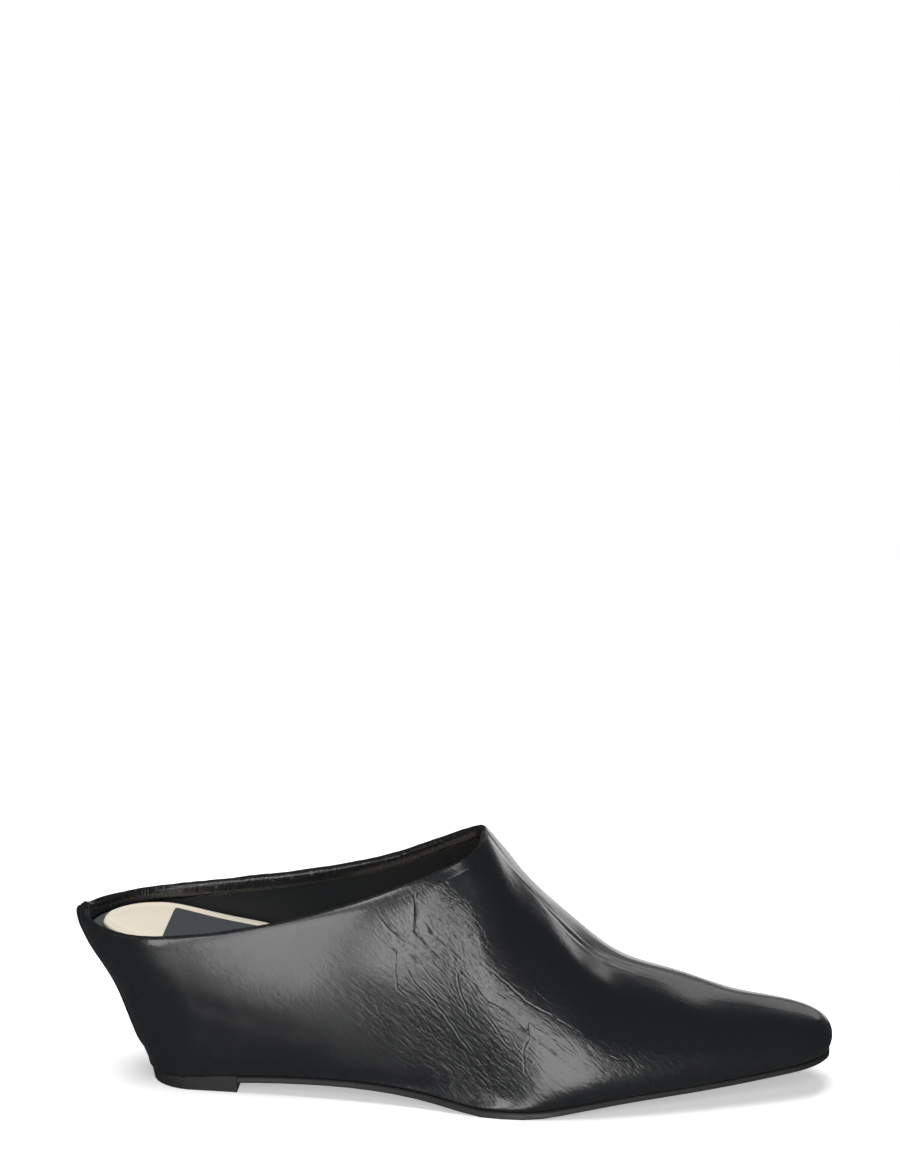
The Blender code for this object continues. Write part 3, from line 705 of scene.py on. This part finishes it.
def pressCreases(piece):
    places = cornerPlaces(piece)
    normals = cornerNormals(piece)
    shifted = places + noiseAt(places, creaseLook["wobbleSize"]) * creaseLook["wobble"]
    shifted += noiseAt(places, creaseLook["shiverSize"]) * creaseLook["shiver"]
    broken = np.clip(0.75 + noiseAt(places, creaseLook["brokenSize"])[:, 0], 0.15, 1.3)
    lift = np.zeros(len(places))
    for seenFrom, width, depth, points in creases + folds:
        onSide = normals[:, 1] < creaseLook["sideFacing"]
        facing = onSide if seenFrom == "side" else normals[:, 2] > creaseLook["topFacing"]
        gap, share = lineDistance(creasePoints(shifted, seenFrom), *creaseLines(points))
        across = gap / (width * mm)
        fade = np.sin(np.pi * np.clip(share, 0, 1)) ** creaseLook["fade"]
        fromLip = (across - creaseLook["lipPlace"]) / creaseLook["lipWidth"]
        trough = np.exp(-(across**2)) - creaseLook["lipHeight"] * np.exp(-(fromLip**2))
        lift -= np.where(facing, depth * mm * fade * trough * broken, 0)
    movePlaces(piece, places + normals * lift[:, None])


noise.seed_set(creaseLook["seed"])
for reachName in ("nearReach", "lineReach", "edgeReach"):
    refineNearCreases(leatherSkin, creaseLook[reachName])
pressCreases(leatherSkin)
finishPiece(leatherSkin, "upper_leather", "upper")
print("leather skin creased:", len(leatherSkin.data.polygons))

# The folded edge puckers a little across the fold, and its layers bunch at the back seam
foldLook = {"pucker": 0.13 * mm, "size": 420, "squeeze": (1, 1, 0.4), "wave": 0.20 * mm, "waveSize": 130}
bunchLook = {
    "steps": 13,
    "rise": 0.5 * mm,
    "tuckIn": 0.35,
    "tuckDown": 0.5,
    "wander": 0.25,
    "thinnest": 0.02,
    "taper": 0.7,
}
bunchedFolds = [
    # outwards, up, thickness at the seam and length, in millimetres
    (2.3, -0.7, 0.85, 27),
    (1.2, 0.25, 0.90, 34),
    (0.1, -0.25, 0.85, 29),
    (-0.35, -1.7, 0.75, 23),
    (-0.45, -3.1, 0.65, 18),
]


def puckerFold(piece):
    places = cornerPlaces(piece)
    normals = cornerNormals(piece)
    squeezed = places * np.array(foldLook["squeeze"])
    lift = noiseAt(squeezed, foldLook["size"])[:, 0] * foldLook["pucker"]
    lift += noiseAt(places, foldLook["waveSize"])[:, 1] * foldLook["wave"]
    movePlaces(piece, places + normals * lift[:, None])


def rimPlace(side, distance):
    # Place and outward direction at this distance from the back seam along the collar
    line = rimSides[side]
    runs = np.linalg.norm(np.diff(line, axis=0), axis=1)
    reached = np.concatenate([[0], np.cumsum(runs)])
    place = np.array([np.interp(distance, reached, line[:, i]) for i in range(3)])
    ahead = np.array([np.interp(distance + mm, reached, line[:, i]) for i in range(3)])
    run = Vector(ahead - place).normalized()
    out = Vector((run.y, -run.x, 0)) * -side
    return Vector(place), out.normalized()


def addFold(side, out, up, thick, length):
    # One folded layer: a tapering round that runs from the seam along the collar
    deselectAll()
    bpy.ops.curve.primitive_nurbs_path_add(location=(0, 0, 0))
    fold = bpy.context.active_object
    curve = fold.data
    curve.splines.clear()
    spline = curve.splines.new("NURBS")
    spline.points.add(bunchLook["steps"] - 1)
    for i, point in enumerate(spline.points):
        share = i / (bunchLook["steps"] - 1)
        place, way = rimPlace(side, share * length * mm)
        gather = (1 - share) ** 3
        wander = noise.noise(Vector((share * 5, up, side * 3))) * bunchLook["wander"]
        place = place + way * (out * (1 - bunchLook["tuckIn"] * gather) + wander) * mm
        place.z += up * (1 - bunchLook["tuckDown"] * gather) * mm + bunchLook["rise"] * gather
        point.co = (*place, 1)
        point.radius = max(1 - share, bunchLook["thinnest"]) ** bunchLook["taper"]
    spline.use_endpoint_u = True
    spline.order_u = 4
    curve.dimensions = "3D"
    curve.bevel_depth = thick * mm
    curve.bevel_resolution = 3
    curve.use_fill_caps = True
    bpy.ops.object.convert(target="MESH")
    bpy.ops.object.shade_smooth()
    return bpy.context.active_object


def makeBunch():
    parts = [addFold(side, *fold) for side in (-1, 1) for fold in bunchedFolds]
    deselectAll()
    for part in parts:
        part.select_set(True)
    bpy.context.view_layer.objects.active = parts[0]
    bpy.ops.object.join()
    bunch = bpy.context.active_object
    bunch.name = "seamBunch"
    bunch.data.name = "seamBunch"
    bunch.data.materials.clear()
    bunch.data.materials.append(foldedFacing)
    return bunch


puckerFold(toplineFold)
finishPiece(toplineFold, "upper_leather")
finishPiece(liningSkin, "upper_leather")
finishPiece(makeBunch(), "upper_leather")
print("collar folded")

# Sock: padded, with a raised border and a groove inside it
sockLook = {
    "crossCuts": 16,
    "longEdge": 11 * mm,
    "grooveIn": 3.1 * mm,
    "grooveWidth": 0.55 * mm,
    "grooveDepth": 0.40 * mm,
    "crown": 0.45 * mm,
    "crownReach": 12 * mm,
    "topFacing": 0.6,
    "shade": (0.60, 0.545, 0.445),
    "light": (0.67, 0.61, 0.505),
    "roughness": 0.58,
    "specular": 0.3,
    "cloudSize": 60,
    "crackle": (500, 0.002, 0.25),
    "crackleDepth": 0.02 * mm,
    "grainSizes": (600, 2600),
    "grainDepth": 0.03 * mm,
}


def sockMaterial():
    look = sockLook
    material = newMaterial("creamSock", look["light"], look["roughness"], specular=look["specular"])
    tree = material.node_tree
    surface = tree.nodes["Principled BSDF"]
    plain = placeVector(tree)
    cloud = addNode(tree, "ShaderNodeTexNoise", noise_dimensions="3D")
    tree.links.new(plain, cloud.inputs["Vector"])
    cloud.inputs["Scale"].default_value = look["cloudSize"]
    tint = addNode(tree, "ShaderNodeMix", data_type="RGBA")
    tree.links.new(cloud.outputs["Fac"], tint.inputs["Factor"])
    tint.inputs["A"].default_value = (*look["shade"], 1)
    tint.inputs["B"].default_value = (*look["light"], 1)
    tree.links.new(tint.outputs["Result"], surface.inputs["Base Color"])
    creased = addBump(tree, addCrackle(tree, plain, *look["crackle"]), look["crackleDepth"])
    grained = addBump(tree, addGrain(tree, plain, *look["grainSizes"]), look["grainDepth"], creased)
    tree.links.new(grained, surface.inputs["Normal"])
    return material


def crossEdges(piece):
    places = cornerPlaces(piece)
    marks = []
    for edge in piece.data.edges:
        first, second = places[edge.vertices[0]], places[edge.vertices[1]]
        across = abs(first[1] - second[1])
        marks.append(across > sockLook["longEdge"] and across > 2 * abs(first[0] - second[0]))
    return marks


def outlineLines(piece, marks):
    # Straight pieces of the outlines that the cross edges end on
    corners = {v for edge, mark in zip(piece.data.edges, marks) if mark for v in edge.vertices}
    places = cornerPlaces(piece)
    pairs = []
    for edge, mark in zip(piece.data.edges, marks):
        if not mark and edge.vertices[0] in corners and edge.vertices[1] in corners:
            pairs.append(tuple(edge.vertices))
    starts = places[[pair[0] for pair in pairs]][:, :2]
    ends = places[[pair[1] for pair in pairs]][:, :2]
    return starts, ends


sockPad = mergedCopy("sock", "sockPad")
sockMarks = crossEdges(sockPad)
sockOutline = outlineLines(sockPad, sockMarks)
selectEdges(sockPad, sockMarks)
bpy.ops.mesh.subdivide(number_cuts=sockLook["crossCuts"])
bpy.ops.object.mode_set(mode="OBJECT")
smoothThrough(sockPad, 1)


def shapeSock(piece):
    places = cornerPlaces(piece)
    normals = cornerNormals(piece)
    inside, _ = lineDistance(places[:, :2], *sockOutline)
    groove = np.exp(-(((inside - sockLook["grooveIn"]) / sockLook["grooveWidth"]) ** 2))
    crown = np.clip((inside - sockLook["grooveIn"]) / sockLook["crownReach"], 0, 1)
    lift = sockLook["crown"] * np.sin(crown * np.pi / 2) - sockLook["grooveDepth"] * groove
    places[:, 2] += np.where(normals[:, 2] > sockLook["topFacing"], lift, 0)
    movePlaces(piece, places)


shapeSock(sockPad)
sockPad.data.materials.append(sockMaterial())
finishPiece(sockPad, "sock_lining", "sock")
print("sock padded:", len(sockPad.data.polygons))

# Bare dark patch on the sock, with rounded corners
patchLook = {
    "back": -97.3 * mm,
    "front": -38 * mm,
    "outer": -19 * mm,
    "inner": 21.0 * mm,
    "corner": 1.4 * mm,
    "cornerTurns": (25, 45, 65),
    "lift": 0.22 * mm,
    "thickness": 0.352 * mm,
    "colour": (0.052, 0.056, 0.061),
    "roughness": 0.62,
    "specular": 0.35,
    "grainSizes": (900, 3500),
    "grainDepth": 0.03 * mm,
}


def patchMaterial():
    look = patchLook
    material = newMaterial("charcoalPatch", look["colour"], look["roughness"], specular=look["specular"])
    tree = material.node_tree
    surface = tree.nodes["Principled BSDF"]
    grained = addBump(tree, addGrain(tree, placeVector(tree), *look["grainSizes"]), look["grainDepth"])
    tree.links.new(grained, surface.inputs["Normal"])
    return material


def cutAway(place, outwards):
    bpy.ops.mesh.select_all(action="SELECT")
    bpy.ops.mesh.bisect(plane_co=place, plane_no=outwards, clear_outer=True)


def makePatch():
    patch = sockPad.copy()
    patch.data = sockPad.data.copy()
    patch.name = "sockPatch"
    patch.data.name = "sockPatch"
    bpy.context.scene.collection.objects.link(patch)
    patch.data.materials.clear()
    for key in list(patch.keys()):
        del patch[key]
    selectFaces(patch, [normal[2] < sockLook["topFacing"] for normal in faceNormals(patch)])
    bpy.ops.mesh.delete(type="FACE")
    back, front = patchLook["back"], patchLook["front"]
    outer, inner, corner = patchLook["outer"], patchLook["inner"], patchLook["corner"]
    cutAway((back, 0, 0), (-1, 0, 0))
    cutAway((front, 0, 0), (1, 0, 0))
    cutAway((0, outer, 0), (0, -1, 0))
    cutAway((0, inner, 0), (0, 1, 0))
    for side, edge in ((-1, outer), (1, inner)):
        for turn in patchLook["cornerTurns"]:
            angle = math.radians(turn)
            way = Vector((-math.cos(angle), side * math.sin(angle), 0))
            middle = Vector((back + corner, edge - side * corner, 0))
            cutAway(middle + way * corner, way)
    bpy.ops.mesh.select_all(action="SELECT")
    bpy.ops.transform.translate(value=(0, 0, patchLook["lift"]))
    bpy.ops.object.mode_set(mode="OBJECT")
    thick = patch.modifiers.new("thick", "SOLIDIFY")
    thick.thickness = patchLook["thickness"]
    thick.offset = -1
    bpy.ops.object.modifier_apply(modifier="thick")
    patch.data.materials.append(patchMaterial())
    return patch


sockPatch = makePatch()
finishPiece(sockPatch, "footbed_cover")

# Footbed cover round the sock
coverLook = {
    "colour": (0.060, 0.064, 0.070),
    "roughness": 0.66,
    "specular": 0.3,
    "grainSizes": (900, 3500),
    "grainDepth": 0.04 * mm,
}
footbedCover = mergedCopy("footbed", "footbedCover")
makeActive(footbedCover)
bpy.ops.object.shade_smooth_by_angle(angle=mergeLook["sharpAngle"])


def coverMaterial():
    look = coverLook
    material = newMaterial("charcoalCover", look["colour"], look["roughness"], specular=look["specular"])
    tree = material.node_tree
    surface = tree.nodes["Principled BSDF"]
    grained = addBump(tree, addGrain(tree, placeVector(tree), *look["grainSizes"]), look["grainDepth"])
    tree.links.new(grained, surface.inputs["Normal"])
    return material


footbedCover.data.materials.append(coverMaterial())
finishPiece(footbedCover, "footbed_cover", "footbed")


# Outsole and lift: black satin rubber
rubberLook = {
    "colour": (0.014, 0.0145, 0.015),
    "specular": 0.4,
    "scuffStretch": (0.2, 1, 1),
    "scuffSize": 500,
    "grainSizes": (1200, 4200),
    "grainDepth": 0.02 * mm,
}


def rubberMaterial(name, roughness):
    look = rubberLook
    material = newMaterial(name, look["colour"], roughness, specular=look["specular"])
    tree = material.node_tree
    surface = tree.nodes["Principled BSDF"]
    plain = placeVector(tree)
    scuffs = addNode(tree, "ShaderNodeTexNoise", noise_dimensions="3D")
    tree.links.new(placeVector(tree, stretch=look["scuffStretch"]), scuffs.inputs["Vector"])
    scuffs.inputs["Scale"].default_value = look["scuffSize"]
    scuffed = rangeNode(tree, scuffs.outputs["Fac"], 0.3, 0.7, roughness - 0.08, roughness + 0.1)
    tree.links.new(scuffed, surface.inputs["Roughness"])
    grained = addBump(tree, addGrain(tree, plain, *look["grainSizes"]), look["grainDepth"])
    tree.links.new(grained, surface.inputs["Normal"])
    return material


def makeRubberPiece(nodeName, pieceName, slotName, roughness):
    piece = mergedCopy(nodeName, pieceName)
    makeActive(piece)
    bpy.ops.object.shade_smooth_by_angle(angle=mergeLook["sharpAngle"])
    piece.data.materials.append(rubberMaterial(pieceName + "Rubber", roughness))
    finishPiece(piece, slotName, nodeName)


makeRubberPiece("outsole", "rubberSole", "outsole_rubber", 0.48)
makeRubberPiece("top_lift", "heelLift", "lift_rubber", 0.52)


# The wedge stays as packed, in cork
corkLook = {
    "light": (0.36, 0.24, 0.14),
    "dark": (0.20, 0.13, 0.08),
    "roughness": 0.85,
    "grainSize": 420,
    "grainDepth": 0.2 * mm,
}


def corkMaterial():
    look = corkLook
    material = newMaterial("wedgeCork", look["light"], look["roughness"])
    tree = material.node_tree
    surface = tree.nodes["Principled BSDF"]
    plain = placeVector(tree)
    grains = addNode(tree, "ShaderNodeTexVoronoi")
    tree.links.new(plain, grains.inputs["Vector"])
    grains.inputs["Scale"].default_value = look["grainSize"]
    tint = addNode(tree, "ShaderNodeMix", data_type="RGBA")
    tree.links.new(grains.outputs["Distance"], tint.inputs["Factor"])
    tint.inputs["A"].default_value = (*look["light"], 1)
    tint.inputs["B"].default_value = (*look["dark"], 1)
    tree.links.new(tint.outputs["Result"], surface.inputs["Base Color"])
    pitted = addBump(tree, grains.outputs["Distance"], look["grainDepth"])
    tree.links.new(pitted, surface.inputs["Normal"])
    return material


wedge = nodes["wedge_heel"]
wedge.data.materials.clear()
wedge.data.materials.append(corkMaterial())
print("all pieces made")
